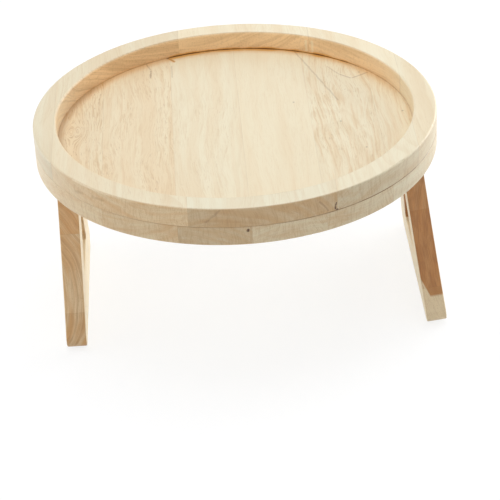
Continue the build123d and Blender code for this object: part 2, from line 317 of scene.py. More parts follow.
class Board:
    """One glued stave: how it was cut from its tree, its tone and what it bears.

    Across points across the grain in the board's face, and a seam is a distance along it from the
    tray's origin. A mark is its start, end, width, strength and, unless it is a knot's, its tone.
    A swirl is its X, Y and radius. A strong ring is its radius, width and strength. Sapwood is None
    or the level line, the start and the slope of its edge.
    """

    def __init__(self, node, across=(1, 0, 0), seams=(), marks=(), swirls=(), strong_rings=(), **grain):
        low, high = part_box(node)
        draw = random.Random(node)
        self.node = node
        self.centre = (low + high) / 2
        self.centre.y = 0
        self.across = Vector(across)
        self.off_face = self.across.cross(Vector((0, 1, 0)))
        self.seams = seams
        self.marks = marks
        self.swirls = swirls
        self.strong_rings = strong_rings
        self.sapwood = None
        # Where the pith lies and how it leans, and the board's tone
        drawn = {
            "depth": draw.uniform(0.060, 0.120) * draw.choice((-1, 1)),
            "offset": draw.uniform(-0.040, 0.040),
            "slant": draw.uniform(-0.05, 0.05),
            "dive": draw.uniform(-0.06, 0.06),
            "shade": draw.uniform(0.97, 1.0),
            "warmth": draw.uniform(0.0, 0.02),
        }
        self.grain = {**drawn, **usual_grain, **grain}
        self.drift = Vector([draw.uniform(-9, 9) for axis in range(3)])

    def shades(self, wood):
        """The wood's colours as light, each darkened and warmed a little for this board."""
        shade, warmth = self.grain["shade"], self.grain["warmth"]
        end_shade, end_warmth = shade * self.grain["end_shade"], warmth + self.grain["end_warmth"]
        shades = {}
        for name in ("face", "band", "ring", "pore", "recess", "glue", "halo", "stain", "knot"):
            shades[name] = linear(getattr(wood, f"{name}_colour"), shade, warmth)
        for name in ("end", "warm_end", "end_ring"):
            shades[name] = linear(getattr(wood, f"{name}_colour"), end_shade, end_warmth)
        pale, warm = linear(wood.end_colour, shade), linear(wood.warm_end_colour, shade)
        pale_share = 0.70
        shades["sapwood"] = tuple(pale_share * a + (1 - pale_share) * b for a, b in zip(pale, warm))
        return shades


def place_in_board(g, place, board):
    """The place across, along and off the board, from its middle."""
    from_middle = g.vector("SUBTRACT", place, board.centre)
    across = g.vector("DOT_PRODUCT", from_middle, board.across)
    off_face = g.vector("DOT_PRODUCT", from_middle, board.off_face)
    return g.join(X=across, Y=g.parts(from_middle)["Y"], Z=off_face)


def from_axis(g, place):
    """The distance from the upright line through the tray's middle."""
    return g.vector("LENGTH", g.vector("MULTIPLY", place, (1, 1, 0)))


def flow_round(g, inside, board):
    """The place with the grain drawn round the board's swirls, as a stream goes round a stone."""
    width_by_length = 0.45
    for x, y, radius in board.swirls:
        from_swirl = g.vector("SUBTRACT", inside, (x - board.centre.x, y, 0))
        oval = g.vector("MULTIPLY", from_swirl, (1, width_by_length, 0))
        spread = g.math("ADD", g.vector("DOT_PRODUCT", oval, oval), (radius / 2) ** 2)
        pull = g.math("DIVIDE", radius ** 2, spread)
        sideways = g.vector("MULTIPLY", from_swirl, (1, 0, 0))
        inside = g.vector("SUBTRACT", inside, g.vector("SCALE", sideways, scale=pull))
    return inside


def rings_of(g, inside, board, wood):
    """The late wood of the yearly rings, 0 to 1, and the place out of, along and round the pith."""
    grain = board.grain
    from_pith = g.vector("SUBTRACT", inside, (grain["offset"], 0, grain["depth"]))
    along = g.parts(from_pith)["Y"]
    lean = g.vector("SCALE", (grain["slant"], 0, grain["dive"]), scale=along)
    flat = g.vector("MULTIPLY", g.vector("SUBTRACT", from_pith, lean), (1, 0, 1))
    radius = g.vector("LENGTH", flat)
    parts = g.parts(flat)
    facing = g.times(parts["Z"], -math.copysign(1, grain["depth"]))
    around = g.times(g.math("ARCTAN2", parts["X"], facing), abs(grain["depth"]))
    round_pith = g.join(X=radius, Y=along, Z=around)
    rings = g.math("DIVIDE", radius, wood.ring_width * grain["spacing"])
    uneven = g.noise_along_a_line(g.math("ADD", g.times(rings, 0.6), board.drift.z))
    most_uneven = 2.6
    phase = g.math("FRACT", g.math("ADD", rings, g.times(uneven, most_uneven)))
    late = g.times(g.ease(phase, 0.30, 0.92), g.ease(phase, 0.90, 1.0, 1.0, 0.0))
    strength = g.noise_along_a_line(g.math("ADD", g.times(rings, 0.35), board.drift.y))
    late = g.times(late, g.ease(strength, 0.30, 0.65, 0.25, 1.0))
    for ring_radius, width, darkness in board.strong_rings:
        distance = g.apart(radius, ring_radius)
        late = g.math("MAXIMUM", late, g.ease(distance, width * 0.2, width, darkness, 0.0))
    return late, g.vector("ADD", round_pith, board.drift.zyz)


def marked(g, place, board, plain, shades):
    """The plain wood with its knots, cracks and strips, each a short crooked line with a ragged edge."""
    ragged = g.times(g.noise(place, patterns["ragged_edge"], detail=3.0), 0.9)
    crooked = g.wobble(place, patterns["crooked_line"])
    for start, end, width, strength, *tone in board.marks:
        middle = (Vector(start) + Vector(end)) / 2
        reach = max((Vector(end) - Vector(start)).length / 2, width)
        heading = (Vector(end) - Vector(start)).normalized() if reach > width else Vector((0, 1, 0))
        sway = min(reach * 0.3, width * 2)
        from_middle = g.vector("SUBTRACT", place, middle)
        from_middle = g.vector("ADD", from_middle, g.vector("SCALE", crooked, scale=sway))
        along = g.vector("DOT_PRODUCT", from_middle, heading)
        sideways = g.vector("SUBTRACT", from_middle, g.vector("SCALE", heading, scale=along))
        beyond = g.math("MAXIMUM", g.math("SUBTRACT", g.math("ABSOLUTE", along), reach - width), 0.0)
        off = g.vector("LENGTH", g.join(X=g.vector("LENGTH", sideways), Y=beyond))
        distance = g.math("ADD", g.math("DIVIDE", off, width), ragged)
        mark = g.ease(distance, 0.75, 1.55, strength, 0.0)
        plain = g.mix(mark, plain, shades[tone[0] if tone else "knot"])
    return plain


def seams_of(g, place, board, wood):
    """Dark where the board meets the next one."""
    across = g.vector("DOT_PRODUCT", place, board.across)
    darkest = 0.0
    for seam in board.seams:
        darkest = g.math("MAXIMUM", darkest, g.near(g.apart(across, seam), wood.glue_width))
    patchy = g.ease(g.noise(place, patterns["seam"]), 0.35, 0.6, 0.4, 1.0)
    return g.times(darkest, patchy, board.grain["seam"])


def layer_line_of(g, place, wood):
    """Dark round the side, where the rim is glued to the lower board, and darkest at the right."""
    parts = g.parts(place)
    distance = g.apart(parts["Z"], recess_floor)
    outside = g.ease(from_axis(g, place), tray_radius - 0.0016, tray_radius - 0.0008)
    patchy = g.ease(g.noise(place, patterns["layer_line"], detail=3.0), 0.34, 0.60, 0.35, 1.0)
    strength = g.times(patchy, g.ease(parts["X"], 0.005, 0.075, 0.16, 0.90))
    near = g.ease(distance, wood.glue_width * 0.3, wood.glue_width * 1.3, 1.0, 0.0)
    return g.times(near, g.times(outside, strength))


def stain_and_painted_shade_of(g, place, on_the_wall):
    """Lacquer gathered at the foot of the recess wall, with painted contact shade: a thin line,
    darkest at the back, and its halo.

    On the floor the line runs into a painted shade at the left, and the halo into a painted shade at the
    back.
    """
    parts = g.parts(place)
    patchy = g.ease(g.noise(place, patterns["recess_foot"], detail=3.0), 0.36, 0.66)
    behind = g.times(g.ease(parts["X"], -0.050, -0.046), g.ease(parts["X"], 0.085, 0.110, 1.0, 0.0))
    behind = g.times(behind, g.ease(parts["Y"], 0.0, 0.050))
    around = g.ease(parts["Y"], -0.060, 0.060, 0.08, 0.22)
    strength = g.math("MAXIMUM", g.times(behind, 0.92), around)
    inwards = g.math("SUBTRACT", recess_radius, from_axis(g, place))
    on_face = g.ease(inwards, -0.0008, -0.0002)
    line_sway = 0.0004
    if on_the_wall:
        from_foot = g.math("SUBTRACT", parts["Z"], recess_floor)
        line_reach, halo_sway, halo_reach = 0.0005, 0.0010, 0.0016
    else:
        from_foot = inwards
        line_reach, halo_sway, halo_reach = 0.0008, 0.0024, 0.0040
        on_face = g.times(on_face, g.ease(parts["Z"], recess_floor - 0.0006, recess_floor - 0.0002))

    def gathered(sway, reach):
        distance = g.math("SUBTRACT", from_foot, g.times(patchy, sway))
        return g.times(g.near(distance, reach), on_face, strength)

    line, halo = gathered(line_sway, line_reach), gathered(halo_sway, halo_reach)
    if on_the_wall:
        return line, halo
    # Painted shade: a soft shade on the floor near the wall, at the left and at the back
    painted_shade_left = g.times(g.near(inwards, 0.0085), g.ease(parts["X"], -0.115, -0.085, 0.42, 0.0))
    painted_shade_back = g.times(g.near(inwards, 0.011), g.ease(parts["Y"], 0.0, 0.080, 0.0, 0.50))
    line = g.math("MAXIMUM", line, g.times(painted_shade_left, on_face))
    return line, g.math("MAXIMUM", halo, g.times(painted_shade_back, on_face))


def face_grain(g, drifted, late, board, wood, shades):
    """Sawn along the grain: bands, faint rings, wavy streaks and pores."""
    grain = board.grain
    sway = 0.0036
    wavy = g.vector("MULTIPLY", g.wobble(drifted, patterns["waves"]), (sway, 0.0, sway))
    wavy = g.vector("ADD", drifted, wavy)
    clusters = g.ease(g.noise(drifted, patterns["clusters"]), 0.36, 0.62)
    bands = g.ease(g.noise(drifted, (wood.band_width, wood.band_length, wood.band_width)), 0.40, 0.62)
    fine, broad = wood.streak_width * 0.55, wood.streak_width * 1.8
    streaks = g.noise(wavy, (fine, wood.streak_length, fine), detail=1.5, roughness=0.6)
    long_streaks = g.noise(wavy, (broad, wood.long_streak_length, broad))
    pores = g.noise(wavy, (wood.pore_width, wood.pore_length, wood.pore_width), detail=1.0)
    pores = g.times(g.ease(pores, 0.60, 0.76), g.ease(clusters, 0.0, 1.0, 0.20, 0.65))
    dark_streaks = g.times(g.ease(streaks, 0.49, 0.66), g.ease(clusters, 0.0, 1.0, 0.35, 0.80))
    long_strength = min(grain["streaks"] * grain["long_streaks"], 1.0)
    face = g.mix(g.times(bands, grain["bands"]), shades["face"], shades["band"])
    face = g.mix(g.ease(long_streaks, 0.46, 0.68, 0.0, long_strength), face, shades["band"])
    face = g.mix(g.ease(long_streaks, 0.56, 0.70, 0.0, long_strength * 0.45), face, shades["ring"])
    face = g.mix(g.times(late, grain["rings"]), face, shades["ring"])
    face = g.mix(g.times(dark_streaks, grain["streaks"]), face, shades["ring"])
    face = g.mix(g.times(pores, grain["streaks"]), face, shades["pore"])
    return face, streaks, pores


def sapwood_of(g, inside, board):
    """Pale wood: 1 below the higher of a level line and a line that slants through the board."""
    level, start, slope = board.sapwood
    parts = g.parts(inside)
    slanted = g.math("ADD", g.times(parts["Z"], slope), start)
    below = g.math("SUBTRACT", parts["X"], g.math("MINIMUM", slanted, level))
    return g.ease(below, -0.0012, 0.0008)


def end_grain(g, inside, round_pith, drifted, late, board, shades):
    """Sawn across the grain: layers, rings and hatching round the pith, patches, saw marks and pores."""
    grain = board.grain
    dark = shades["end_ring"]
    cool, hot = max(grain["heat"] - grain["layers"], 0), min(grain["heat"] + grain["layers"], 1)
    layers = g.noise(round_pith, patterns["layers"])
    end = g.mix(g.ease(layers, 0.33, 0.67, cool, hot), shades["end"], shades["warm_end"])
    patches = g.noise(g.vector("ADD", inside, board.drift), patterns["patches"])
    end = g.mix(g.ease(patches, 0.46, 0.68, 0.0, 0.30), end, shades["warm_end"])
    end = g.mix(g.ease(patches, 0.42, 0.62, 0.0, grain["mottle"]), end, dark)
    if board.sapwood:
        end = g.mix(sapwood_of(g, inside, board), end, shades["sapwood"])
    end = g.mix(g.times(late, grain["end_rings"]), end, dark)
    hatch = g.noise(round_pith, patterns["hatch"])
    end = g.mix(g.ease(hatch, 0.45, 0.70, 0.0, grain["hatch"]), end, dark)
    saw_marks = g.noise(drifted, patterns["saw_marks"], detail=3.0, roughness=0.6)
    end = g.mix(g.ease(saw_marks, 0.44, 0.70, 0.0, grain["saw_marks"]), end, dark)
    pores = g.noise(drifted, patterns["end_pores"])
    return g.mix(g.ease(pores, 0.50, 0.76, 0.0, 0.34), end, dark)


def wall_grain(g, round_pith, drifted, late, board, shades):
    """The wall of the recess: amber, with soft layers, fine streaks and the rings of the cut."""
    layers = g.noise(round_pith, patterns["wall_layers"])
    amber = g.mix(g.ease(layers, 0.40, 0.66, 0.0, 0.32), shades["recess"], shades["warm_end"])
    amber = g.mix(g.times(late, board.grain["wall_rings"]), amber, shades["end_ring"])
    streaks = g.noise(drifted, patterns["wall_streaks"])
    return g.mix(g.ease(streaks, 0.46, 0.74, 0.0, 0.20), amber, shades["end_ring"])


def make_wood(board, wood, recess=None):
    """Lacquered pale hardwood. Recess is "wall" for the rim, "floor" for the lower board or None."""
    material = bpy.data.materials.new(f"{board.node}_wood")
    g = Graph(material)
    shades = board.shades(wood)
    inputs = g.add("TexCoord").outputs
    place = inputs["Object"]
    inside = place_in_board(g, place, board)
    wander = g.wobble(g.vector("ADD", inside, board.drift), patterns["wander"])
    inside = flow_round(g, inside, board)
    bent = g.vector("ADD", inside, g.vector("MULTIPLY", wander, (0.016, 0, 0.006)))
    drifted = g.vector("ADD", bent, board.drift)
    late, round_pith = rings_of(g, bent, board, wood)
    face, streaks, pores = face_grain(g, drifted, late, board, wood, shades)
    end = end_grain(g, inside, round_pith, drifted, late, board, shades)
    ends = g.ease(g.math("ABSOLUTE", g.parts(inputs["Normal"])["Y"]), 0.10, 0.80)
    whole = g.mix(ends, face, end)
    if recess == "wall":
        outwards = g.vector("NORMALIZE", g.vector("MULTIPLY", place, (1, 1, 0)))
        facing_out = g.vector("DOT_PRODUCT", outwards, inputs["Normal"])
        deep = board.grain["amber"]
        inner = g.times(g.ease(facing_out, -0.9, -0.4, 1.0, 0.0), g.ease(ends, 0.0, 1.0, deep * 0.5, deep))
        whole = g.mix(inner, whole, wall_grain(g, round_pith, drifted, late, board, shades))
    if recess:
        # Lacquer at the wall's foot, with painted contact shade, and painted shade on the floor near the wall
        line, halo = stain_and_painted_shade_of(g, place, recess == "wall")
        whole = g.mix(line, g.mix(halo, whole, shades["halo"]), shades["stain"])
        whole = g.mix(layer_line_of(g, place, wood), whole, shades["glue"])
    whole = g.mix(seams_of(g, place, board, wood), whole, shades["glue"])
    if board.marks:
        whole = marked(g, place, board, whole, shades)
    height = g.math("SUBTRACT", g.times(streaks, 0.5), pores)
    bump = g.add("Bump", {"Strength": 0.6, "Distance": wood.grain_depth, "Height": height})
    surface = {
        "Base Color": whole,
        "Roughness": g.ease(streaks, 0.3, 0.7, wood.roughness - 0.05, wood.roughness + 0.08),
        "Coat Weight": 0.12,
        "Coat Roughness": 0.28,
        "Normal": bump.outputs[0],
    }
    g.finish(g.add("BsdfPrincipled", surface).outputs[0])
    return material


def finish_tray(wood, looks, recess, **grain):
    """Finishes the staves of the rim or the lower board, with a seam where a stave doesn't end the tray."""
    for node, look in looks.items():
        edges = [corner.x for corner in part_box(node)]
        seams = [edge for edge in edges if abs(abs(edge) - tray_radius) > 0.001]
        board = Board(node, seams=seams, **{**tray_ends, **grain, **look})
        give(frame["nodes"][node], make_wood(board, wood, recess))


def floor_mark(start, end, width, strength, *tone):
    """A mark on the floor of the recess, from the X and Y of its start and end."""
    return ((*start, recess_floor), (*end, recess_floor), width, strength, *tone)


def wall_strip(x, width):
    """A pale strip up the back of the recess wall."""
    y = math.sqrt(recess_radius ** 2 - x ** 2)
    return ((x, y, recess_floor + 0.0012), (x, y, tray_top - 0.0026), width, 0.42, "face")


# Looks of the rim: its marks, and what sets each piece apart from a usual board

hook = [
    ((0.0640, -0.1357, 0.1464), (0.0629, -0.1362, 0.1432), 0.0008, 0.85),
    ((0.0629, -0.1362, 0.1434), (0.0629, -0.1362, 0.1403), 0.0009, 0.92),
    ((0.0631, -0.1361, 0.1403), (0.0652, -0.1351, 0.1403), 0.0008, 0.85),
]
slash = [((0.0516, -0.1408, 0.1505), (0.0583, -0.1382, 0.1408), 0.0009, 0.34, "glue")]
smear = [((-0.0275, -0.1475, 0.1435), (-0.0165, -0.1491, 0.1540), 0.0011, 0.20)]
flecks = [
    ((-0.1180, -0.0926, 0.1447), (-0.1110, -0.1009, 0.1468), 0.0016, 0.20, "glue"),
    ((-0.1050, -0.1071, 0.1470), (-0.0960, -0.1153, 0.1482), 0.0014, 0.16, "glue"),
]
pale_strips = [wall_strip(0.0625, 0.0013), wall_strip(0.0672, 0.0014)]
rim_looks = {
    # rim_left's low shade is partly its tone and partly painted shade on its recess wall
    "rim_left": {"shade": 0.93, "warmth": 0.0, "slant": 0.12, "heat": 0.1, "amber": 0.35},
    "rim_back_left": {
        "shade": 0.93, "warmth": 0.02, "depth": 0.09, "spacing": 0.28, "amber": 0.95,
        "wall_rings": 0.36, "heat": 0.7, "end_shade": 0.88, "end_warmth": 0.02,
    },
    "rim_back_middle": {
        "shade": 1.03, "warmth": 0.0, "seam": 0.26, "amber": 0.9, "wall_rings": 0.08, "heat": 0.3,
        "marks": pale_strips,
    },
    "rim_back_right": {
        "shade": 1.05, "warmth": -0.01, "depth": 0.12, "offset": 0.01, "seam": 0.26,
        "wall_rings": 0.12, "heat": 0.5, "marks": pale_strips,
    },
    "rim_front_left": {
        "shade": 0.97, "warmth": 0.01, "depth": 0.11, "amber": 0.5, "heat": 0.30,
        "end_shade": 1.14, "end_warmth": 0.065, "marks": flecks,
    },
    "rim_front_middle": {
        "shade": 0.96, "warmth": -0.03, "heat": 0.55, "end_shade": 0.98, "end_warmth": 0.05,
        "marks": hook + slash + smear,
    },
    "rim_front_right": {
        "warmth": -0.01, "depth": -0.12, "heat": 0.25, "end_shade": 0.95, "marks": hook,
    },
    "rim_right": {"warmth": 0.0, "depth": 0.12, "amber": 0.4, "heat": 0.1},
}

# Looks of the lower board: its marks, and what sets each stave apart

seam_knot = [((0.0021, -0.1500, 0.1386), (0.0013, -0.1500, 0.1352), 0.0013, 0.97)]
spur = [
    floor_mark((-0.0480, 0.1235), (-0.0424, 0.1152), 0.0017, 0.85, "halo"),
    floor_mark((-0.0478, 0.1232), (-0.0424, 0.1152), 0.0011, 0.38, "stain"),
    floor_mark((-0.0487, 0.1235), (-0.0480, 0.1228), 0.0016, 0.85, "stain"),
]
short_line = [
    floor_mark((-0.0660, 0.1180), (-0.0622, 0.1030), 0.0008, 0.30, "glue"),
    floor_mark((-0.0622, 0.1030), (-0.0620, 0.0890), 0.0010, 0.45, "glue"),
]
faint_line = [floor_mark((-0.0451, 0.1092), (-0.0454, 0.0878), 0.0009, 0.20, "glue")]
diagonal = [floor_mark((0.0527, 0.1225), (0.0803, 0.0297), 0.0010, 0.24, "glue")]
arc = [
    floor_mark((0.0765, 0.0902), (0.0846, 0.0748), 0.0008, 0.20, "glue"),
    floor_mark((0.0846, 0.0748), (0.0933, 0.0666), 0.0009, 0.32, "glue"),
    floor_mark((0.0933, 0.0666), (0.1073, 0.0752), 0.0009, 0.32, "glue"),
]
places_of_dots = ((0.0461, 0.0321), (0.0789, -0.0038), (0.1264, 0.0061), (0.0937, -0.0470), (0.1003, 0.0762))
dots = [floor_mark(spot, spot, 0.0011, 0.42) for spot in places_of_dots]
right_marks = diagonal + arc + dots
base_looks = {
    "base_stave_1": {
        "warmth": 0.045, "slant": 0.12, "depth": -0.075, "offset": 0.03, "streaks": 0.80,
        "heat": 0.25, "end_shade": 1.12, "swirls": [(-0.1204, 0.0072, 0.0075)],
    },
    "base_stave_2": {
        "warmth": 0.045, "streaks": 0.62, "heat": 0.35, "end_shade": 1.08,
        "marks": spur + short_line + faint_line,
    },
    "base_stave_3": {
        "streaks": 0.30, "rings": 0.10, "heat": 0.45, "end_shade": 0.96,
        "marks": spur + seam_knot + faint_line,
    },
    "base_stave_4": {
        "streaks": 0.18, "rings": 0.08, "heat": 0.10, "bands": 0.45, "marks": seam_knot + right_marks,
    },
    "base_stave_5": {
        "slant": -0.10, "streaks": 0.58, "long_streaks": 1.5, "rings": 0.20, "heat": 0.10,
        "marks": right_marks,
    },
    "base_stave_6": {
        "streaks": 0.50, "long_streaks": 1.2, "heat": 0.08, "end_shade": 1.04, "end_warmth": -0.08,
        "marks": right_marks,
    },
}

# Looks of the wings, and of each stave beside its wing's

# A shade of 1.10 paints the wings' faces lighter: painted light on their inner faces
wing_looks = {
    "left": {"shade": 1.10, "warmth": 0.0, "spacing": 0.62, "end_rings": 0.42, "hatch": 0.30},
    "right": {
        "shade": 1.10, "warmth": 0.0, "spacing": 0.5, "end_rings": 0.48, "hatch": 0.55,
        "mottle": 0.45, "end_shade": 0.73, "end_warmth": 0.30,
    },
}
stave_looks = {
    "left": {
        "foot": {"heat": 0.72, "end_shade": 0.98, "end_warmth": 0.055},
        "middle": {"heat": 0.58, "end_shade": 1.04, "end_warmth": 0.05},
        "top": {"heat": 0.85, "end_shade": 1.04, "end_warmth": 0.10},
    },
    "right": {
        "foot": {"heat": 0.95, "end_rings": 0.10, "hatch": 0.14, "mottle": 0.10, "end_shade": 0.665},
        "middle": {"heat": 0.95},
        "top": {"heat": 0.90, "end_shade": 0.80, "end_warmth": 0.23},
    },
}

# The pith's place down from the foot's end and off the board, and the dark rings round it
piths = {"left": (-0.0360, -0.0533), "right": (-0.0480, 0.1400)}
strong_rings = {"left": [(0.0560, 0.0011, 0.95), (0.0612, 0.0016, 0.70)], "right": []}

# The edge of the right wing's pale sapwood, up from the foot's end
sapwood_level, sapwood_start, sapwood_slope = 0.0215, 0.0168, 2.26


# Metal

def off_knuckles(g, place, knuckle_radius):
    """0 on the round knuckles of both hinges and 1 on the flat leaves."""
    pin = joints["left_wing_fold"]["pos_m"]
    parts = g.parts(place)
    beside = g.math("SUBTRACT", g.math("ABSOLUTE", parts["X"]), abs(pin[0]))
    above = g.math("SUBTRACT", parts["Z"], pin[2])
    from_pin = g.vector("LENGTH", g.join(X=beside, Z=above))
    return g.ease(from_pin, knuckle_radius * 1.1, knuckle_radius * 1.4)


def make_metal(name, base, worn, patch, roughness, across, along, depth, hinge=None):
    """Metal with fine lines, this wide across the pin, long along it and deep, and worn patches.

    Where a hinge is given, the metal is rougher off its knuckles.
    """
    material = bpy.data.materials.new(name)
    g = Graph(material)
    place = g.add("TexCoord").outputs["Object"]
    lines = g.noise(place, (across, along, across))
    patches = g.ease(g.noise(place, patterns["worn"], detail=3.0), 0.35, 0.7)
    sheen = g.mix(patches, linear(base), linear(worn, shade=1 - patch))
    sheen = g.mix(g.ease(lines, 0.45, 0.8, 0.0, 0.25), sheen, linear(base, shade=0.55))
    patchy = g.ease(patches, 0.0, 1.0, roughness, roughness + 0.08)
    rough = g.math("ADD", g.ease(lines, 0.3, 0.7, 0.0, 0.12), patchy)
    if hinge:
        rough = g.math("ADD", rough, g.times(off_knuckles(g, place, hinge.knuckle), hinge.satin))
    bump = g.add("Bump", {"Strength": 0.5, "Distance": depth, "Height": lines})
    surface = {"Base Color": sheen, "Metallic": 1.0, "Roughness": rough, "Normal": bump.outputs[0]}
    g.finish(g.add("BsdfPrincipled", surface).outputs[0])
    return material


# Springs

def tail_line(lead, coil_radius, bend_radius, level, end, way, turned):
    """Points of a tail from the coil to its end, in the hinge's X and Z."""
    leave = Vector((way * coil_radius * math.sin(lead), coil_radius * math.cos(lead)))
    back = bend_radius * math.tan(lead / 2)
    corner = leave.x + way * (leave.y - level) / math.tan(lead)
    centre = Vector((corner + way * back, level + bend_radius))
    points = [leave]
    bends = 8
    for step in range(bends + 1):
        lean = lead * (1 - step / bends)
        points.append(centre - Vector((way * math.sin(lean), math.cos(lean))) * bend_radius)
    points += [Vector((way * end, level))]
    cosine, sine = math.cos(turned), math.sin(turned)
    return [(x * cosine + z * sine, z * cosine - x * sine) for x, z in points]


def spring_line(hinge, opening, pin, way):
    """The whole spring from the tray's tail to the wing's, and its half length along the pin."""
    coil_radius = hinge.coil / 2
    turn = math.tau * hinge.full_turns + 2 * hinge.tail_lead + opening
    half_length = hinge.pitch * turn / math.tau / 2
    bend = (hinge.tail_lead, coil_radius, hinge.tail_bend)
    tray_tail = tail_line(*bend, hinge.tray_level, hinge.tail_end, -1, 0)
    wing_tail = tail_line(*bend, hinge.wing_level, hinge.tail_end, 1, opening)
    points = [(x, -half_length, z) for x, z in reversed(tray_tail)]
    steps_in_a_turn = 36
    steps = math.ceil(steps_in_a_turn * turn / math.tau)
    for step in range(1, steps):
        share = step / steps
        around = math.pi / 2 + hinge.tail_lead - share * turn
        along = half_length * (2 * share - 1)
        points.append((coil_radius * math.cos(around), along, coil_radius * math.sin(around)))
    points += [(x, half_length, z) for x, z in wing_tail]
    return [pin + Vector((way * x, way * y, z)) for x, y, z in points], half_length


def sweep_wire(name, points, radius):
    """A round wire along the points, with domed ends."""
    corners, dome_rings = 14, 3
    mesh = bmesh.new()
    headings = [(after - before).normalized() for before, after in zip(points, points[1:])]
    headings = [headings[0]] + [(a + b).normalized() for a, b in zip(headings, headings[1:])] + [headings[-1]]
    leans = [math.pi / 2 * (1 - step / (dome_rings + 1)) for step in range(1, dome_rings + 1)]
    rings = []
    for lean in leans:
        centre = points[0] - headings[0] * radius * math.sin(lean)
        rings.append((centre, headings[0], radius * math.cos(lean)))
    rings += [(point, heading, radius) for point, heading in zip(points, headings)]
    for lean in reversed(leans):
        centre = points[-1] + headings[-1] * radius * math.sin(lean)
        rings.append((centre, headings[-1], radius * math.cos(lean)))
    side = headings[0].orthogonal().normalized()
    circles = []
    for centre, heading, reach in rings:
        side = (side - heading * side.dot(heading)).normalized()
        other = heading.cross(side)
        circle = []
        for corner in range(corners):
            turn = math.tau * corner / corners
            circle.append(mesh.verts.new(centre + (side * math.cos(turn) + other * math.sin(turn)) * reach))
        circles.append(circle)
    for low, high in zip(circles, circles[1:]):
        for corner in range(corners):
            following = (corner + 1) % corners
            mesh.faces.new((low[corner], low[following], high[following], high[corner]))
    tips = (points[0] - headings[0] * radius, points[-1] + headings[-1] * radius)
    for tip, circle, way in ((tips[0], circles[0], -1), (tips[1], circles[-1], 1)):
        top = mesh.verts.new(tip)
        for corner in range(corners):
            mesh.faces.new((circle[corner], circle[(corner + 1) % corners], top)[::way])
    for face in mesh.faces:
        face.smooth = True
    data = bpy.data.meshes.new(name)
    mesh.to_mesh(data)
    mesh.free()
    wire = bpy.data.objects.new(name, data)
    bpy.context.scene.collection.objects.link(wire)
    return wire


# Operators, one for each group of like pieces

class SOFATRAY_OT_rim(bpy.types.Operator):
    """Finishes the glued pieces of the tray's rim"""

    bl_idname = "sofa_tray.rim"
    bl_label = "Rim"

    def execute(self, context):
        finish_tray(context.scene.sofa_tray_wood, rim_looks, "wall", streaks=0.22, rings=0.22)
        return {"FINISHED"}


class SOFATRAY_OT_base(bpy.types.Operator):
    """Finishes the glued staves of the tray's lower board"""

    bl_idname = "sofa_tray.base"
    bl_label = "Lower board"

    def execute(self, context):
        finish_tray(context.scene.sofa_tray_wood, base_looks, "floor")
        return {"FINISHED"}


class SOFATRAY_OT_wings(bpy.types.Operator):
    """Finishes the glued staves of both wings"""

    bl_idname = "sofa_tray.wings"
    bl_label = "Wings"

    def execute(self, context):
        for side, way in sides.items():
            opening = math.radians(-joints[f"{side}_wing_fold"]["range_deg"][0])
            down = Vector((way * math.cos(opening), 0, -math.sin(opening)))
            foot, middle = (
                [vertex.co.dot(down) for vertex in frame["nodes"][f"{side}_wing_{part}_stave"].data.vertices]
                for part in ("foot", "middle")
            )
            foot_end, foot_seam, middle_seam = max(foot), min(foot), min(middle)
            seams = {"foot": [foot_seam], "middle": [foot_seam, middle_seam], "top": [middle_seam]}
            from_foot, depth = piths[side]
            for part, stave_look in stave_looks[side].items():
                look = {**wing_looks[side], **stave_look}
                node = f"{side}_wing_{part}_stave"
                board = Board(node, across=down, seams=seams[part], strong_rings=strong_rings[side], **look)
                centre = board.centre.dot(down)
                board.grain.update(offset=foot_end + from_foot - centre, depth=depth, slant=0.0, dive=0.0)
                # The patterns run on from stave to stave, but not into the left wing's top stave
                if side == "right" or part != "top":
                    board.drift = Vector((3.1 * way + centre, 5.7, -2.3 * way))
                if side == "right" and part != "top":
                    edge = foot_end - centre
                    board.sapwood = (edge - sapwood_level, edge - sapwood_start, sapwood_slope)
                give(frame["nodes"][node], make_wood(board, context.scene.sofa_tray_wood))
        return {"FINISHED"}


class SOFATRAY_OT_leaves(bpy.types.Operator):
    """Finishes the four hinge leaves in polished steel"""

    bl_idname = "sofa_tray.leaves"
    bl_label = "Hinge leaves"

    def execute(self, context):
        hinge = context.scene.sofa_tray_hinges
        steel = make_metal(
            "polished_steel", hinge.leaf_colour, hinge.leaf_colour, patch=0.06, roughness=0.14,
            across=0.00012, along=0.012, depth=0.000004, hinge=hinge,
        )
        give_both_sides(("tray_leaf", "wing_leaf"), steel)
        return {"FINISHED"}


class SOFATRAY_OT_pins(bpy.types.Operator):
    """Finishes both hinge pins in turned steel"""

    bl_idname = "sofa_tray.pins"
    bl_label = "Hinge pins"

    def execute(self, context):
        hinge = context.scene.sofa_tray_hinges
        steel = make_metal(
            "turned_steel", hinge.pin_colour, hinge.pin_colour, patch=0.12, roughness=0.22,
            across=0.0040, along=0.00012, depth=0.000004,
        )
        give_both_sides(("hinge_pin",), steel)
        return {"FINISHED"}


class SOFATRAY_OT_springs(bpy.types.Operator):
    """Winds both torsion springs, each wing's tail turned by its wing's opening, in place of the frame's
    springs
    """

    bl_idname = "sofa_tray.springs"
    bl_label = "Torsion springs"

    def execute(self, context):
        hinge = context.scene.sofa_tray_hinges
        steel = make_metal(
            "drawn_wire", hinge.spring_colour, hinge.spring_colour, patch=0.15, roughness=0.20,
            across=0.00025, along=0.00025, depth=0.000003,
        )
        for side, way in sides.items():
            joint = joints[f"{side}_wing_fold"]
            pin = Vector(joint["pos_m"])
            opening = math.radians(-joint["range_deg"][0])
            points, half_length = spring_line(hinge, opening, pin, way)
            wire = sweep_wire(f"{side}_spring_wire", points, hinge.wire / 2)
            give(wire, steel)
            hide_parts(f"{side}_hinge_spring")
            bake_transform(wire)
        return {"FINISHED"}


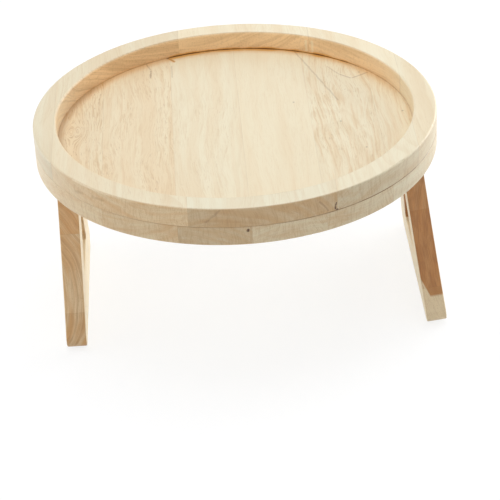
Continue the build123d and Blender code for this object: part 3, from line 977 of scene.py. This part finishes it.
class SOFATRAY_OT_screws(bpy.types.Operator):
    """Finishes the eight pan head screws in bright zinc plate"""

    bl_idname = "sofa_tray.screws"
    bl_label = "Screws"

    def execute(self, context):
        hinge = context.scene.sofa_tray_hinges
        zinc = make_metal(
            "zinc_plate", hinge.zinc_colour, hinge.zinc_patch_colour, patch=0.12, roughness=0.24,
            across=0.0006, along=0.0006, depth=0.000004,
        )
        give_both_sides(("tray_screws", "wing_screws"), zinc)
        return {"FINISHED"}


class SOFATRAY_OT_stage(bpy.types.Operator):
    """Lays the floor and sets the lights, the white surroundings and the camera"""

    bl_idname = "sofa_tray.stage"
    bl_label = "Stage"

    def execute(self, context):
        scene = context.scene
        stage = scene.sofa_tray_stage
        self.lay_floor(scene, stage)
        self.surround(scene, stage)
        self.hang_lights(scene, stage)
        self.set_camera(scene, stage)
        scene.view_settings.view_transform = "Standard"
        return {"FINISHED"}

    def lay_floor(self, scene, stage):
        """A floor that keeps the tray's shadow, is white to the camera and is clear from below."""
        half = stage.floor_size / 2
        data = bpy.data.meshes.new("floor")
        corners = [(x, y, 0) for x, y in ((-half, -half), (half, -half), (half, half), (-half, half))]
        data.from_pydata(corners, [], [(0, 1, 2, 3)])
        floor = bpy.data.objects.new("floor", data)
        scene.collection.objects.link(floor)
        material = bpy.data.materials.new("pale_floor")
        g = Graph(material)
        rays = g.add("LightPath").outputs
        under = g.add("NewGeometry").outputs["Backfacing"]
        seen = g.math("MAXIMUM", rays["Is Camera Ray"], rays["Is Glossy Ray"])
        paint = g.mix(seen, linear(stage.floor_colour), linear(stage.floor_seen))
        matt = g.add("BsdfDiffuse", {"Color": paint})
        glow = g.add("Emission", {"Strength": g.times(seen, stage.floor_glow)})
        lit = g.add("AddShader", {0: matt.outputs[0], 1: glow.outputs[0]})
        clear = g.add("BsdfTransparent")
        from_below = g.times(under, rays["Is Camera Ray"])
        both = {0: from_below, 1: lit.outputs[0], 2: clear.outputs[0]}
        g.finish(g.add("MixShader", both).outputs[0])
        give(floor, material)

    def surround(self, scene, stage):
        """An even light, white to the camera and in what the metal shows."""
        world = bpy.data.worlds.new("white_studio")
        scene.world = world
        g = Graph(world)
        rays = g.add("LightPath").outputs
        seen = g.math("MAXIMUM", rays["Is Camera Ray"], rays["Is Glossy Ray"])
        seen = g.math("MAXIMUM", seen, rays["Is Transmission Ray"])
        white = (1, 1, 1, 1)
        light = g.add("Background", {"Color": white, "Strength": stage.ambient})
        backdrop = g.add("Background", {"Color": white, "Strength": 1.0})
        both = g.add("MixShader", {0: seen, 1: light.outputs[0], 2: backdrop.outputs[0]})
        g.add("OutputWorld", {"Surface": both.outputs[0]})

    def hang_lights(self, scene, stage):
        """Four square softboxes, each with its place, side and power, aimed at the tray."""
        boxes = {
            "top_softbox": ((0.1, 0.30, 1.7), 1.6, stage.top_light),
            "front_softbox": ((0.0, -1.8, 0.7), 1.2, stage.front_light),
            "left_softbox": ((-1.5, 0.3, 0.45), 1.0, stage.left_light),
            "right_softbox": ((1.3, 0.9, 0.30), 1.0, stage.right_light),
        }
        aim = Vector((0, 0, tray_top / 2))
        for name, (place, size, power) in boxes.items():
            data = bpy.data.lights.new(name, "AREA")
            data.size = size
            data.energy = power
            lamp = bpy.data.objects.new(name, data)
            lamp.location = place
            lamp.rotation_euler = (aim - lamp.location).to_track_quat("-Z", "Y").to_euler()
            scene.collection.objects.link(lamp)

    def set_camera(self, scene, stage):
        """The camera of the photograph, placed from the tray's top centre."""
        ahead = Vector((0, math.cos(stage.pitch), -math.sin(stage.pitch)))
        down = Vector((0, -math.sin(stage.pitch), -math.cos(stage.pitch)))
        right = Vector((1, 0, 0))
        rolled_right = right * math.cos(stage.roll) + down * math.sin(stage.roll)
        rolled_down = down * math.cos(stage.roll) - right * math.sin(stage.roll)
        place = -(rolled_right * stage.aside + rolled_down * stage.below + ahead * stage.ahead)
        axes = Matrix((rolled_right, -rolled_down, -ahead)).transposed()
        turned = Matrix.Rotation(-stage.yaw, 4, "Z")
        data = bpy.data.cameras.new("camera")
        data.sensor_fit = "HORIZONTAL"
        data.sensor_width = 36
        data.lens = stage.lens * 1000
        camera = bpy.data.objects.new("camera", data)
        scene.collection.objects.link(camera)
        top_centre = Matrix.Translation((0, 0, tray_top))
        camera.matrix_world = top_centre @ turned @ Matrix.Translation(place) @ axes.to_4x4()
        scene.camera = camera


class SOFATRAY_PT_panel(bpy.types.Panel):
    """Lists the tray's operators and settings"""

    bl_idname = "SOFATRAY_PT_panel"
    bl_label = "Sofa Arm Tray"
    bl_space_type = "VIEW_3D"
    bl_region_type = "UI"
    bl_category = "Sofa Tray"

    def draw(self, context):
        scene = context.scene
        for operator in operators:
            self.layout.operator(operator.bl_idname)
        for settings in (scene.sofa_tray_wood, scene.sofa_tray_hinges, scene.sofa_tray_stage):
            box = self.layout.box()
            for name in settings.__annotations__:
                box.prop(settings, name)


operators = (
    SOFATRAY_OT_rim,
    SOFATRAY_OT_base,
    SOFATRAY_OT_wings,
    SOFATRAY_OT_leaves,
    SOFATRAY_OT_pins,
    SOFATRAY_OT_springs,
    SOFATRAY_OT_screws,
    SOFATRAY_OT_stage,
)
classes = (WoodSettings, HingeSettings, StageSettings) + operators + (SOFATRAY_PT_panel,)


def register():
    for kind in classes:
        bpy.utils.register_class(kind)
    bpy.types.Scene.sofa_tray_wood = PointerProperty(type=WoodSettings)
    bpy.types.Scene.sofa_tray_hinges = PointerProperty(type=HingeSettings)
    bpy.types.Scene.sofa_tray_stage = PointerProperty(type=StageSettings)


def unregister():
    del bpy.types.Scene.sofa_tray_stage
    del bpy.types.Scene.sofa_tray_hinges
    del bpy.types.Scene.sofa_tray_wood
    for kind in reversed(classes):
        bpy.utils.unregister_class(kind)


def main():
    register()
    bpy.ops.sofa_tray.rim()
    bpy.ops.sofa_tray.base()
    bpy.ops.sofa_tray.wings()
    bpy.ops.sofa_tray.leaves()
    bpy.ops.sofa_tray.pins()
    bpy.ops.sofa_tray.springs()
    bpy.ops.sofa_tray.screws()
    bpy.ops.sofa_tray.stage()


if __name__ == "__main__":
    main()
